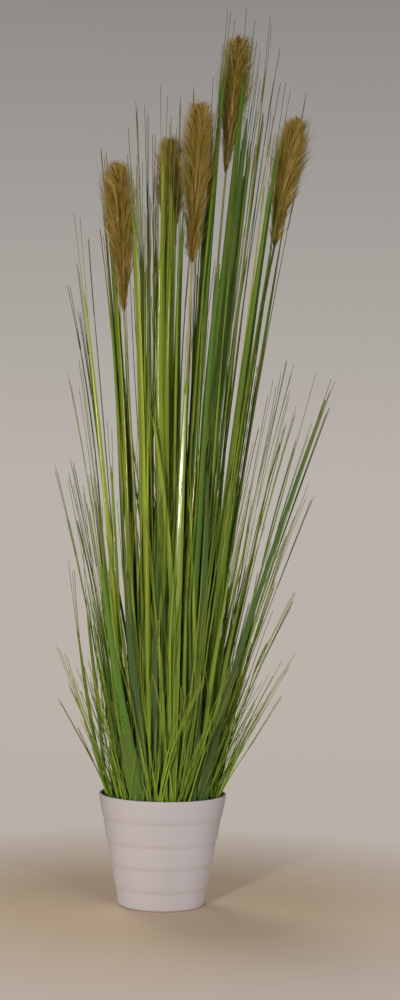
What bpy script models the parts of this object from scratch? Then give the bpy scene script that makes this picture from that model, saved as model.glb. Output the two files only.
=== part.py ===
# A potted ornamental grass: tufts of long blades and soft plumes on stems, planted in a stepped white pot.
# Metres, +Z up. The origin is the centre of the pot's underside, and -Y is the front.
import math
import random
from dataclasses import dataclass

import bmesh
import bpy
import numpy as np
from mathutils import Vector

MM = 0.001
GAP = 0.0003

# The pot: a turned shell with five bands that each overhang the one below
POT_HEIGHT = 0.148
RIM_RADIUS = 0.0845
FOOT_RADIUS = 0.056
WALL = 0.003
FLOOR = 0.004
BANDS = 5
TOP_BAND = 0.030
BAND_HEIGHT = 0.0308
BAND_STEP = 0.0022
STEP_SLOPE = 0.001
FOOT_BEVEL = 0.004
RIM_BEVEL = 0.0008
TURN_SEGMENTS = 32

# The potting fill, and the sockets that the feet of tufts and stems are planted in
FILL_TOP = 0.126
PLANT_DEPTH = 0.020
PLANT_RADIUS = 0.0655
SOCKET_GAP = 0.0004


# A kind of tuft: how many blades, their width, the radius of their common foot, how far the tips fan out,
# the share of the lean that comes near the tip, and how much lower each tip is than the one before
@dataclass
class Kind:
    blades: int
    width: float
    foot: float
    fan: float
    bend: float
    drop: float
    colour: tuple


KINDS = {
    "tall": Kind(5, 0.0080, 0.0058, 0.014, 0.30, 0.035, (0.10, 0.22, 0.04)),
    "middle": Kind(5, 0.0065, 0.0050, 0.018, 0.30, 0.030, (0.13, 0.26, 0.05)),
    "short": Kind(6, 0.0040, 0.0050, 0.026, 0.30, 0.035, (0.20, 0.34, 0.07)),
}
BLADE_THICKNESS = 0.0010
KEEL_SHARE = 0.65
THIN_SHARE = 0.4
ROOT_WIDTH = 0.5
FULL_WIDTH_AT = 0.28
TIP_SHARPNESS = 2.4
# Height of the neck in which a foot turns into a blade, then shares of the height where a blade has sections
NECK = 0.012
BLADE_STATIONS = (0.42, 0.80)
FOOT_RISE = 0.003
BLADE_OFFSET = 0.8
WIDTH_RANGE = (0.8, 1.12)
BEND_RANGE = 0.10

# Each row is one tuft: the place that the tips of its blades fan around, x, y, z in millimetres
TALL_TIPS = (
    (-92, -22, 1000),
    (-84, 30, 1012),
    (-130, 5, 918),
    (-48, -44, 1062),
    (-36, 42, 1068),
    (-16, -20, 1082),
    (2, 66, 1094),
    (-44, -84, 985),
    (10, -64, 1015),
    (40, 44, 1098),
    (60, -12, 1187),
    (107, 6, 1195),
    (134, -34, 1173),
    (120, 52, 1108),
    (148, -54, 1088),
    (170, 34, 1086),
    (95, -66, 998),
    (44, 92, 988),
    (-52, 84, 965),
    (-12, -90, 930),
    (62, -92, 905),
)
MIDDLE_TIPS = (
    (-136, -24, 582),
    (-122, 52, 592),
    (-110, -66, 586),
    (-118, 24, 728),
    (204, -32, 708),
    (166, 46, 734),
    (152, -14, 724),
    (182, 8, 564),
    (156, -62, 436),
    (104, 104, 640),
    (34, 134, 606),
    (-54, 126, 622),
    (-62, -112, 524),
    (8, -122, 566),
    (76, -116, 604),
)
# The short tufts are a skirt that leans out over the rim, a little more to the right than to the left
SHORT_TUFTS = 12
SHORT_REACH = 0.137
SHORT_SHIFT = 0.013
SHORT_HEIGHT = 0.322
SHORT_RIPPLE = 0.018
SHORT_TURN = math.radians(14)

# Each row is one plume, in millimetres: root x, y of its stem, x, y, z where the hair starts and ends, radius
PLUMES = (
    (-22, -16, -62, -24, 786, -74, -28, 985, 17),
    (-4, 13, -2, 20, 868, -5, 22, 1026, 15),
    (13, -15, 27, -26, 853, 34, -30, 1065, 18),
    (24, 9, 70, 16, 978, 86, 20, 1163, 16),
    (37, -9, 136, -10, 878, 162, -12, 1050, 17),
)
STEM_RADIUS = 0.0022
STEM_TOP_RADIUS = 0.0014
STEM_BEND = 0.35
STEM_SIDES = 5
STEM_STEPS = 6
PLUME_SIDES = 8
PLUME_TWIST = math.radians(8)
# Shares of a plume's length, from where the hair starts to its blunt top, and of its radius
PLUME_FORM = (
    (0.00, 0.16),
    (0.10, 0.30),
    (0.24, 0.48),
    (0.40, 0.68),
    (0.56, 0.84),
    (0.72, 0.96),
    (0.86, 1.00),
    (0.96, 0.82),
)
LOCK_REACH = 0.0045
LOCK_RISE = 0.9
CROWN_HEIGHT = 0.007

# Planting: roots are spread out, then each blade shifts a little until it stands clear of those already in
SEED = 12
TUFT_TRIES = 100
BLADE_TRIES = 40
SPREAD_ROUNDS = 300
SPREAD_PUSH = 0.4
ROOT_SHIFT = 0.0015
TIP_SHIFT = 0.030
FIRST_SHIFT = 0.12
CLEARANCE = 0.0002
RIM_ROOM = 0.004
LEVELS = np.arange(FILL_TOP - PLANT_DEPTH, 1.22, 0.003)

WHITE_PLASTIC = ("white_plastic", (0.72, 0.68, 0.66), 0.42)
DARK_FILL = ("dark_fill", (0.035, 0.026, 0.018), 0.95)
STEM_GREEN = ("stem_green", (0.20, 0.26, 0.07), 0.5)
PLUME_HAIR = ("plume_hair", (0.26, 0.19, 0.07), 0.85)
BLADE_ROUGHNESS = 0.4


@dataclass
class Blade:
    root: Vector
    tip: Vector
    bend: float
    width: float
    heading: float


@dataclass
class Tuft:
    name: str
    kind: str
    root: Vector
    turn: float
    blades: list


@dataclass
class Plume:
    root: Vector
    low: Vector
    high: Vector
    radius: float


def clear_scene():
    for old in list(bpy.data.objects):
        bpy.data.objects.remove(old, do_unlink=True)


def finish_of(name, colour, roughness):
    found = bpy.data.materials.get(name)
    if found:
        return found
    made = bpy.data.materials.new(name)
    made.use_nodes = True
    shader = made.node_tree.nodes["Principled BSDF"]
    shader.inputs["Base Color"].default_value = (*colour, 1)
    shader.inputs["Roughness"].default_value = roughness
    shader.inputs["Metallic"].default_value = 0
    return made


def object_from(name, edit, finish, smooth_below):
    """Makes a named object of a bmesh, with its faces pointing out and its own material."""
    bmesh.ops.recalc_face_normals(edit, faces=edit.faces)
    mesh = bpy.data.meshes.new(name)
    edit.to_mesh(mesh)
    edit.free()
    mesh.materials.append(finish_of(*finish))
    mesh.shade_smooth()
    mesh.set_sharp_from_angle(angle=math.radians(smooth_below))
    made = bpy.data.objects.new(name, mesh)
    bpy.context.scene.collection.objects.link(made)
    return made


def around(angle, radius=1.0):
    return Vector((math.cos(angle), math.sin(angle))) * radius


def extruded(edit, face):
    """Extrudes one face and returns the new end. Its old place is left open."""
    return bmesh.ops.extrude_discrete_faces(edit, faces=[face])["faces"][0]


# The pot and its fill

def cone_radius(z):
    return FOOT_RADIUS + (RIM_RADIUS - FOOT_RADIUS) * z / POT_HEIGHT


def inner_radius(z):
    return cone_radius(z) - WALL - BAND_STEP / 2


def turned(name, profile, finish):
    """Spins a profile of (radius, z) points, whose two ends lie on the axis, into a closed solid."""
    edit = bmesh.new()
    points = [edit.verts.new((r, 0, z)) for r, z in profile]
    line = [edit.edges.new(pair) for pair in zip(points, points[1:])]
    bmesh.ops.spin(
        edit,
        geom=points + line,
        axis=(0, 0, 1),
        cent=(0, 0, 0),
        angle=math.tau,
        steps=TURN_SEGMENTS,
        use_merge=True,
    )
    bmesh.ops.remove_doubles(edit, verts=edit.verts, dist=1e-6)
    return object_from(name, edit, finish, 40)


def make_pot():
    corner = 0.3 * FOOT_BEVEL
    profile = [(0, 0), (FOOT_RADIUS - FOOT_BEVEL, 0), (FOOT_RADIUS - corner, corner)]
    profile.append((FOOT_RADIUS + BAND_STEP / 2, FOOT_BEVEL))
    for band in range(BANDS - 2, -1, -1):
        z = POT_HEIGHT - TOP_BAND - band * BAND_HEIGHT
        profile.append((cone_radius(z) - BAND_STEP / 2, z - STEP_SLOPE))
        profile.append((cone_radius(z) + BAND_STEP / 2, z + STEP_SLOPE))
    inside = inner_radius(POT_HEIGHT)
    profile.append((RIM_RADIUS, POT_HEIGHT - RIM_BEVEL))
    profile.append((RIM_RADIUS - RIM_BEVEL, POT_HEIGHT))
    profile.append((inside + RIM_BEVEL, POT_HEIGHT))
    profile.append((inside, POT_HEIGHT - RIM_BEVEL))
    profile.append((inner_radius(FLOOR + FOOT_BEVEL), FLOOR + FOOT_BEVEL))
    profile.append((inner_radius(FLOOR) - FOOT_BEVEL, FLOOR))
    profile.append((0, FLOOR))
    turned("pot", profile, WHITE_PLASTIC)


def make_fill(sockets):
    """The dark fill, with a blind socket for each outline, a list of level points."""
    low = FLOOR + GAP
    profile = [(0, low), (inner_radius(low) - FOOT_BEVEL - GAP, low)]
    profile.append((inner_radius(low + FOOT_BEVEL) - 2 * GAP, low + FOOT_BEVEL))
    profile.append((inner_radius(FILL_TOP) - 2 * GAP, FILL_TOP))
    profile.append((0, FILL_TOP))
    fill = turned("potting_fill", profile, DARK_FILL)
    edit = bmesh.new()
    for outline in sockets:
        bottom = edit.faces.new([edit.verts.new((x, y, FILL_TOP - PLANT_DEPTH - GAP)) for x, y in outline])
        grown = bmesh.ops.extrude_face_region(edit, geom=[bottom])["geom"]
        corners = [part for part in grown if isinstance(part, bmesh.types.BMVert)]
        bmesh.ops.translate(edit, vec=(0, 0, 2 * PLANT_DEPTH), verts=corners)
    cutter = object_from("socket_cutter", edit, DARK_FILL, 40)
    cutter.hide_render = True
    cutter.display_type = "WIRE"
    cut = fill.modifiers.new("sockets", "BOOLEAN")
    cut.operation = "DIFFERENCE"
    cut.object = cutter


# The lines that blades, stems and plumes follow

def lean_share(t, bend):
    """Share of the sideways travel done at share t of the height: a steady lean that grows near the tip."""
    return (1 - bend) * t + bend * t * t


def width_share(t):
    """A blade is narrow at its root, full in its lower half, and drawn out to a point."""
    grown = np.minimum(1, ROOT_WIDTH + (1 - ROOT_WIDTH) * t / FULL_WIDTH_AT)
    return grown * (1 - t**TIP_SHARPNESS)


def stations_of(root, tip):
    """Shares of the height at which a blade has a section."""
    return (NECK / (tip.z - root.z), *BLADE_STATIONS)


def point_on(low, high, t, bend):
    return low.lerp(high, lean_share(t, bend)).to_2d().to_3d() + Vector((0, 0, low.z + (high.z - low.z) * t))


def plume_radius(t, radius):
    return radius * np.interp(t, *zip(*PLUME_FORM))


def plumes():
    for row in PLUMES:
        x, y, *rest = (value * MM for value in row)
        yield Plume(Vector((x, y, FILL_TOP + FOOT_RISE)), Vector(rest[0:3]), Vector(rest[3:6]), rest[6])


# Planting. The room that a piece takes is a row for every level, x, y, half its width as a vector x, y, and
# half its thickness, which is negative at levels that it doesn't reach

def blade_room(blade):
    t = (LEVELS - blade.root.z) / (blade.tip.z - blade.root.z)
    marks = np.array((0, *stations_of(blade.root, blade.tip), 1))
    share = np.interp(t, marks, lean_share(marks, blade.bend))[:, None]
    half = np.interp(t, marks, width_share(marks))[:, None] * blade.width / 2
    thickness = np.where((t >= marks[1]) & (t <= 1), BLADE_THICKNESS * 0.7, -1)
    middle = np.array(blade.root.xy) * (1 - share) + np.array(blade.tip.xy) * share
    return np.column_stack((middle, half * np.array(around(blade.heading + math.pi / 2)), thickness))


def round_room(low, high, bend, radius):
    """Room for something round whose radius is a function of the share of its height."""
    t = (LEVELS - low.z) / (high.z - low.z)
    share = lean_share(t, bend)[:, None]
    middle = np.array(low.xy) * (1 - share) + np.array(high.xy) * share
    size = np.where((t >= 0) & (t <= 1), radius(np.clip(t, 0, 1)), -1)
    return np.column_stack((middle, np.zeros_like(middle), size))


def foot_room(root, radius):
    """Room for a planted foot, up to where its blades have their full form."""
    low = Vector((root.x, root.y, FILL_TOP - PLANT_DEPTH))
    high = Vector((root.x, root.y, FILL_TOP + FOOT_RISE + NECK))
    return round_room(low, high, 0, lambda t: radius + 0 * t)


def plume_rooms(plume):
    yield foot_room(plume.root, STEM_RADIUS + SOCKET_GAP)
    yield round_room(plume.root, plume.low, STEM_BEND, lambda t: STEM_RADIUS + 0 * t)
    yield round_room(plume.low, plume.high, 0, lambda t: plume_radius(t, plume.radius) + LOCK_REACH)


def point_to_line(point, middle, half):
    """Distances of points from short lines, each given by its middle and half its length as a vector."""
    length = np.maximum((half**2).sum(axis=1), 1e-12)
    along = np.clip(((point - middle) * half).sum(axis=1) / length, -1, 1)
    return np.linalg.norm(point - middle - half * along[:, None], axis=1)


def cross(a, b):
    return a[:, 0] * b[:, 1] - a[:, 1] * b[:, 0]


def line_distance(one, other):
    """Distances between short lines that lie in one level, row by row, and 0 where they cross."""
    c1, h1, c2, h2 = one[:, :2], one[:, 2:4], other[:, :2], other[:, 2:4]
    ends = [point_to_line(c1 - h1, c2, h2), point_to_line(c1 + h1, c2, h2)]
    ends += [point_to_line(c2 - h2, c1, h1), point_to_line(c2 + h2, c1, h1)]
    turn = cross(h1, h2)
    turn = np.where(np.abs(turn) < 1e-14, 1e-14, turn)
    crossing = (np.abs(cross(c2 - c1, h2) / turn) <= 1) & (np.abs(cross(c2 - c1, h1) / turn) <= 1)
    return np.where(crossing, 0, np.min(ends, axis=0))


def inside_rim(room):
    """True if a piece stays clear of the pot's wall as far up as the rim."""
    reach = np.hypot(room[:, 0], room[:, 1]) + np.hypot(room[:, 2], room[:, 3]) + room[:, 4]
    low = (LEVELS < POT_HEIGHT + RIM_ROOM) & (room[:, 4] > 0)
    return not (reach[low] > inner_radius(POT_HEIGHT) - CLEARANCE).any()


def stands_clear(room, placed):
    """True if a new piece is clear, at every level, of each of those in place."""
    spans = np.hypot(placed[:, :, 2], placed[:, :, 3]) + np.hypot(room[:, 2], room[:, 3])
    needed = placed[:, :, 4] + room[:, 4] + CLEARANCE
    both = (placed[:, :, 4] > 0) & (room[:, 4] > 0)
    apart = np.hypot(placed[:, :, 0] - room[:, 0], placed[:, :, 1] - room[:, 1])
    piece, level = np.nonzero(both & (apart < spans + needed))
    return not len(piece) or (line_distance(placed[piece, level], room[level]) > needed[piece, level]).all()


def short_tips():
    for i in range(SHORT_TUFTS):
        angle = SHORT_TURN + math.tau * i / SHORT_TUFTS
        place = around(angle, SHORT_REACH)
        yield place.x + SHORT_SHIFT, place.y, SHORT_HEIGHT + SHORT_RIPPLE * math.sin(5 * angle)


def roots_for(kinds, tips):
    """The more a tuft leans, the nearer to the wall it grows, on the side it leans to.

    Then roots are pushed apart until every foot has its own ground, clear of the plumes' stems.
    """
    sideways = np.linalg.norm(tips[:, :2], axis=1)
    rank = np.argsort(np.argsort(sideways / (tips[:, 2] - FILL_TOP)))
    outward = PLANT_RADIUS * np.sqrt((rank + 0.5) / len(tips)) / sideways
    stems = np.array([plume.root.xy for plume in plumes()])
    roots = np.concatenate((tips[:, :2] * outward[:, None], stems))
    radii = [KINDS[kind].foot for kind in kinds] + [STEM_RADIUS] * len(stems)
    feet = np.array(radii) + SOCKET_GAP + CLEARANCE
    others = 1 - np.eye(len(roots))
    for _ in range(SPREAD_ROUNDS):
        between = roots[:, None] - roots[None, :]
        apart = np.linalg.norm(between, axis=2) + np.eye(len(roots))
        lacking = np.maximum(0, feet[:, None] + feet[None, :] - apart) * others
        roots = roots + (between / apart[:, :, None] * lacking[:, :, None] * SPREAD_PUSH).sum(axis=1)
        roots = roots * np.minimum(1, PLANT_RADIUS / np.linalg.norm(roots, axis=1))[:, None]
        roots[len(tips):] = stems
    return roots[: len(tips)]


def random_point(chance, reach):
    return Vector((chance.uniform(-reach, reach), chance.uniform(-reach, reach)))


def plant_tuft(name, kind, root, tip, placed, chance):
    """Tries one place and turn for a tuft. Returns it and the rooms it takes, or nothing."""
    facts = KINDS[kind]
    tuft = Tuft(name, kind, root, chance.uniform(0, math.tau), [])
    rooms = [foot_room(root, facts.foot + SOCKET_GAP)]
    if not (inside_rim(rooms[0]) and stands_clear(rooms[0], placed)):
        return None
    width = facts.width * chance.uniform(*WIDTH_RANGE)
    for k in range(facts.blades):
        heading = tuft.turn + math.tau * k / facts.blades
        start = (root + around(heading, facts.foot * BLADE_OFFSET)).to_3d()
        start.z = FILL_TOP + FOOT_RISE
        height = tip.z * (1 - facts.drop * k)
        aim = root.lerp(tip.xy, 1 - facts.drop * k) + around(heading, facts.fan)
        bend = facts.bend + chance.uniform(-BEND_RANGE, BEND_RANGE)
        for attempt in range(BLADE_TRIES):
            end = aim + random_point(chance, TIP_SHIFT * (FIRST_SHIFT + attempt / BLADE_TRIES))
            blade = Blade(start, Vector((end.x, end.y, height)), bend, width, heading)
            room = blade_room(blade)
            siblings = np.array(rooms[1:]).reshape(-1, *room.shape)
            if inside_rim(room) and stands_clear(room, placed) and stands_clear(room, siblings):
                break
        else:
            return None
        tuft.blades.append(blade)
        rooms.append(room)
    return tuft, rooms


def planted_tufts():
    """Plants the tufts one by one between the plumes, the outermost first."""
    chance = random.Random(SEED)
    placed = np.array([room for plume in plumes() for room in plume_rooms(plume)])
    kinds = ["short"] * SHORT_TUFTS + ["middle"] * len(MIDDLE_TIPS) + ["tall"] * len(TALL_TIPS)
    tips = np.concatenate((list(short_tips()), np.array(MIDDLE_TIPS) * MM, np.array(TALL_TIPS) * MM))
    tufts = []
    for kind, root, tip in zip(kinds, roots_for(kinds, tips), tips):
        name = f"grass_{kind}_{1 + sum(tuft.kind == kind for tuft in tufts):02d}"
        for attempt in range(TUFT_TRIES):
            shifted = Vector(root) + random_point(chance, ROOT_SHIFT * attempt / TUFT_TRIES)
            found = plant_tuft(name, kind, shifted, Vector(tip), placed, chance)
            if found:
                break
        else:
            raise RuntimeError(f"no room for {name}")
        tufts.append(found[0])
        placed = np.concatenate((placed, found[1]))
    return tufts


# Grass tufts

def foot_corners(root, radius, sides, turn):
    """Corners of a planted foot. Each blade leaves it through the wedge between two corners."""
    return [root + around(turn + math.tau * (k - 0.5) / sides, radius) for k in range(sides)]


def make_tuft(tuft):
    """One closed solid: a planted foot, whose top wedges are drawn out into the blades."""
    edit = bmesh.new()
    corners = foot_corners(tuft.root, KINDS[tuft.kind].foot, len(tuft.blades), tuft.turn)
    bottom = edit.faces.new([edit.verts.new((x, y, FILL_TOP - PLANT_DEPTH)) for x, y in corners])
    grown = bmesh.ops.extrude_face_region(edit, geom=[bottom])["geom"]
    top = next(part for part in grown if isinstance(part, bmesh.types.BMFace))
    bmesh.ops.translate(edit, vec=(0, 0, PLANT_DEPTH + FOOT_RISE), verts=top.verts)
    centre = top.calc_center_median()
    for wedge in bmesh.ops.poke(edit, faces=[top])["faces"]:
        outward = (wedge.calc_center_median() - centre).xy
        blade = max(tuft.blades, key=lambda one: around(one.heading).dot(outward))
        draw_blade(edit, wedge, blade, centre)
    finish = (f"blade_{tuft.kind}", KINDS[tuft.kind].colour, BLADE_ROUGHNESS)
    object_from(tuft.name, edit, finish, 25)


def draw_blade(edit, wedge, blade, centre):
    """Extrudes a wedge of a foot along a blade's line: a flat back, a keel inside, and a point at the end."""
    out = around(blade.heading).to_3d()
    across = Vector((-out.y, out.x, 0))
    sides = [round((corner.co - centre).dot(across) * 1e6) for corner in wedge.verts]
    signs = [(side > 0) - (side < 0) for side in sides]
    for t in stations_of(blade.root, blade.tip):
        wedge = extruded(edit, wedge)
        place = point_on(blade.root, blade.tip, t, blade.bend)
        share = float(width_share(t))
        thickness = BLADE_THICKNESS * (THIN_SHARE + (1 - THIN_SHARE) * share)
        for corner, sign in zip(wedge.verts, signs):
            depth = 1 - KEEL_SHARE if sign else -KEEL_SHARE
            corner.co = place + across * (sign * share * blade.width / 2) + out * (thickness * depth)
    bmesh.ops.pointmerge(edit, verts=extruded(edit, wedge).verts, merge_co=blade.tip)


# Plumes and their stems

def set_ring(face, centre, radius, turn):
    """Sets a face's corners on a level circle, in the order they have round it."""
    way = 1 if face.normal.z > 0 else -1
    for k, corner in enumerate(face.verts):
        corner.co = centre + around(turn + way * math.tau * k / len(face.verts), radius).to_3d()


def make_stem(name, plume):
    """A tapered round stem, upright in its socket, that leans out to the foot of the hair."""
    top = plume.low - Vector((0, 0, GAP))
    edit = bmesh.new()
    foot = bmesh.ops.create_circle(edit, cap_ends=True, segments=STEM_SIDES, radius=STEM_RADIUS)["verts"]
    end = edit.faces[:][0]
    bmesh.ops.translate(edit, vec=plume.root - Vector((0, 0, PLANT_DEPTH + FOOT_RISE)), verts=foot)
    for step in range(STEM_STEPS + 1):
        t = step / STEM_STEPS
        end = extruded(edit, end)
        radius = STEM_RADIUS + (STEM_TOP_RADIUS - STEM_RADIUS) * t
        set_ring(end, point_on(plume.root, top, t, STEM_BEND), radius, 0)
    bmesh.ops.contextual_create(edit, geom=foot)
    object_from(name, edit, STEM_GREEN, 40)


def make_plume(name, plume):
    """A brush of hair: narrow at its foot, full towards its blunt top, with a pointed lock on every facet."""
    direction = (plume.high - plume.low).normalized()
    body_top = plume.high - direction * CROWN_HEIGHT
    edit = bmesh.new()
    foot = bmesh.ops.create_circle(edit, cap_ends=True, segments=PLUME_SIDES, radius=1)["verts"]
    end = edit.faces[:][0]
    set_ring(end, plume.low, plume.radius * PLUME_FORM[0][1], 0)
    facets = {}
    for step, (share, size) in enumerate(PLUME_FORM[1:], 1):
        before = set(edit.faces)
        end = extruded(edit, end)
        set_ring(end, plume.low.lerp(body_top, share), plume.radius * size, step * PLUME_TWIST)
        for facet in set(edit.faces) - before - {end}:
            facets[facet] = share - PLUME_FORM[step - 1][0]
    bmesh.ops.contextual_create(edit, geom=foot)
    for facet, span in sorted(facets.items(), key=lambda pair: pair[0].calc_center_median()[:]):
        middle = facet.calc_center_median()
        along = (middle.z - plume.low.z) / (body_top.z - plume.low.z)
        out = (middle - plume.low.lerp(body_top, along)).normalized()
        lock = bmesh.ops.poke(edit, faces=[facet])["verts"][0]
        lock.co = middle + out * LOCK_REACH + direction * (span * (body_top - plume.low).length * LOCK_RISE)
    bmesh.ops.poke(edit, faces=[end])["verts"][0].co = plume.high
    object_from(name, edit, PLUME_HAIR, 10)


def main():
    clear_scene()
    tufts = planted_tufts()
    sockets = []
    for tuft in tufts:
        radius = KINDS[tuft.kind].foot + SOCKET_GAP
        sockets.append(foot_corners(tuft.root, radius, len(tuft.blades), tuft.turn))
    for plume in plumes():
        radius = STEM_RADIUS + SOCKET_GAP
        sockets.append(foot_corners(plume.root.xy, radius, STEM_SIDES, math.pi / STEM_SIDES))
    make_pot()
    make_fill(sockets)
    for tuft in tufts:
        make_tuft(tuft)
    for number, plume in enumerate(plumes(), 1):
        make_stem(f"plume_stem_{number}", plume)
        make_plume(f"plume_{number}", plume)


main()
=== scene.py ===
import math
import random

import bmesh
import bpy
import numpy as np
from mathutils import Matrix, Vector


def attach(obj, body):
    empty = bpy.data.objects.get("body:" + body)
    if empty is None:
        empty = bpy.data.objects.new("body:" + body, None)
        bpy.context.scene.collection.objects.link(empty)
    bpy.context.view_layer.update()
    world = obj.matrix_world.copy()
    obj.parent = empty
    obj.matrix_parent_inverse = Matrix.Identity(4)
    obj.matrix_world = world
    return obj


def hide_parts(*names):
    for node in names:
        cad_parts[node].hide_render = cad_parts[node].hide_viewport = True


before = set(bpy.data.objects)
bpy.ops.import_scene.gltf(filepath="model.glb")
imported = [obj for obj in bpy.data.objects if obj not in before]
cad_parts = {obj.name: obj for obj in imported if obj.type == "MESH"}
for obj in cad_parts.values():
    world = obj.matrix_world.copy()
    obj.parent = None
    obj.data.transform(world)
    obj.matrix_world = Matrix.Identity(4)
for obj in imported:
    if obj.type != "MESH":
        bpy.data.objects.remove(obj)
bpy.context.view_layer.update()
mm = 0.001


# Small helpers

def deselectAll():
    bpy.ops.object.select_all(action="DESELECT")


def editMode(element):
    bpy.ops.object.mode_set(mode="EDIT")
    bpy.ops.mesh.select_mode(type=element)


def objectMode():
    bpy.ops.object.mode_set(mode="OBJECT")


def pickAll():
    bpy.ops.mesh.select_all(action="SELECT")


def pickOpenEdges():
    bpy.ops.mesh.select_all(action="DESELECT")
    bpy.ops.mesh.select_mode(type="EDGE")
    bpy.ops.mesh.select_non_manifold()


def pickUpper(piece, least):
    # Edit mode, with only the faces picked whose normal points up by at least so much
    editMode("FACE")
    bpy.ops.mesh.select_all(action="DESELECT")
    objectMode()
    for face in piece.data.polygons:
        face.select = face.normal.z > least
    editMode("FACE")


def extrude(rise, factor=1):
    # Extrudes what is picked straight up, and widens it about the axis
    bpy.ops.mesh.extrude_region_move(TRANSFORM_OT_translate={"value": (0, 0, rise)})
    if factor != 1:
        bpy.ops.transform.resize(value=(factor, factor, 1), center_override=(0, 0, 0))


def finishShape():
    # Turns the faces outwards, and puts the new piece's place into its mesh
    pickAll()
    bpy.ops.mesh.normals_make_consistent(inside=False)
    objectMode()
    bpy.ops.object.transform_apply(location=True, rotation=True, scale=True)


def addDisc(name, vertices, radius, z):
    deselectAll()
    bpy.ops.mesh.primitive_circle_add(vertices=vertices, radius=radius, fill_type="NGON", location=(0, 0, z))
    bpy.context.object.name = name
    return bpy.context.object


def addRod(sides, depth):
    # A standing cylinder of unit radius in edit mode, with its upper end picked
    deselectAll()
    bpy.ops.mesh.primitive_cylinder_add(vertices=sides, radius=1, depth=depth, end_fill_type="NGON")
    rod = bpy.context.object
    pickUpper(rod, 0.9)
    return rod


def newObject(name, data):
    made = bpy.data.objects.new(name, data)
    bpy.context.scene.collection.objects.link(made)
    return made


def joinPieces(first, *others):
    deselectAll()
    for piece in (first, *others):
        piece.select_set(True)
    bpy.context.view_layer.objects.active = first
    bpy.ops.object.join()


def removePieces(*pieces):
    for piece in pieces:
        bpy.data.objects.remove(piece, do_unlink=True)


def finishPiece(piece, nodes, material):
    piece.data.materials.clear()
    piece.data.materials.append(material)
    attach(piece, "root")
    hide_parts(*nodes)


def readEach(items, key, width=1, kind=int):
    values = np.zeros(len(items) * width, kind)
    items.foreach_get(key, values)
    return values


def cornersOf(piece):
    return readEach(piece.data.vertices, "co", 3, float).reshape(-1, 3)


def moveCorners(piece, corners):
    piece.data.vertices.foreach_set("co", corners.ravel())


def addTone(mesh, tones):
    # A number for each corner, which the materials read
    tone = mesh.attributes.new("tone", "FLOAT", "POINT")
    tone.data.foreach_set("value", np.array(tones, np.float32))


def copiesOf(base, name, corners, tones, lengthMap):
    # Many copies of a modelled shape in one mesh. Each has its own corners and tone, and lengthMap moves
    # its place on the UV map's long axis, as (start, span)
    mesh = base.data
    count, loopCount, many = len(mesh.vertices), len(mesh.loops), len(corners)
    loopCorner = readEach(mesh.loops, "vertex_index")
    starts = readEach(mesh.polygons, "loop_start")
    uv = readEach(mesh.uv_layers.active.data, "uv", 2, float)
    step = np.arange(many)[:, None]
    made = bpy.data.meshes.new(name)
    made.vertices.add(many * count)
    made.vertices.foreach_set("co", np.array(corners, np.float32).ravel())
    made.loops.add(many * loopCount)
    made.loops.foreach_set("vertex_index", (loopCorner + step * count).ravel().astype(np.int32))
    made.polygons.add(many * len(starts))
    made.polygons.foreach_set("loop_start", (starts + step * loopCount).ravel().astype(np.int32))
    made.update(calc_edges=True)
    uv = np.tile(uv.reshape(1, -1, 2), (many, 1, 1))
    span = np.array(lengthMap)
    uv[:, :, 1] = span[:, :1] + uv[:, :, 1] * span[:, 1:]
    layer = made.uv_layers.new(name="UVMap")
    layer.data.foreach_set("uv", uv.ravel().astype(np.float32))
    addTone(made, np.repeat(tones, count))
    made.shade_smooth()
    return newObject(name, made)


# Nodes for materials

def dimmed(colour):
    # A little darker, for soft clouds in a plain finish
    return tuple(part * 0.94 for part in colour)


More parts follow.
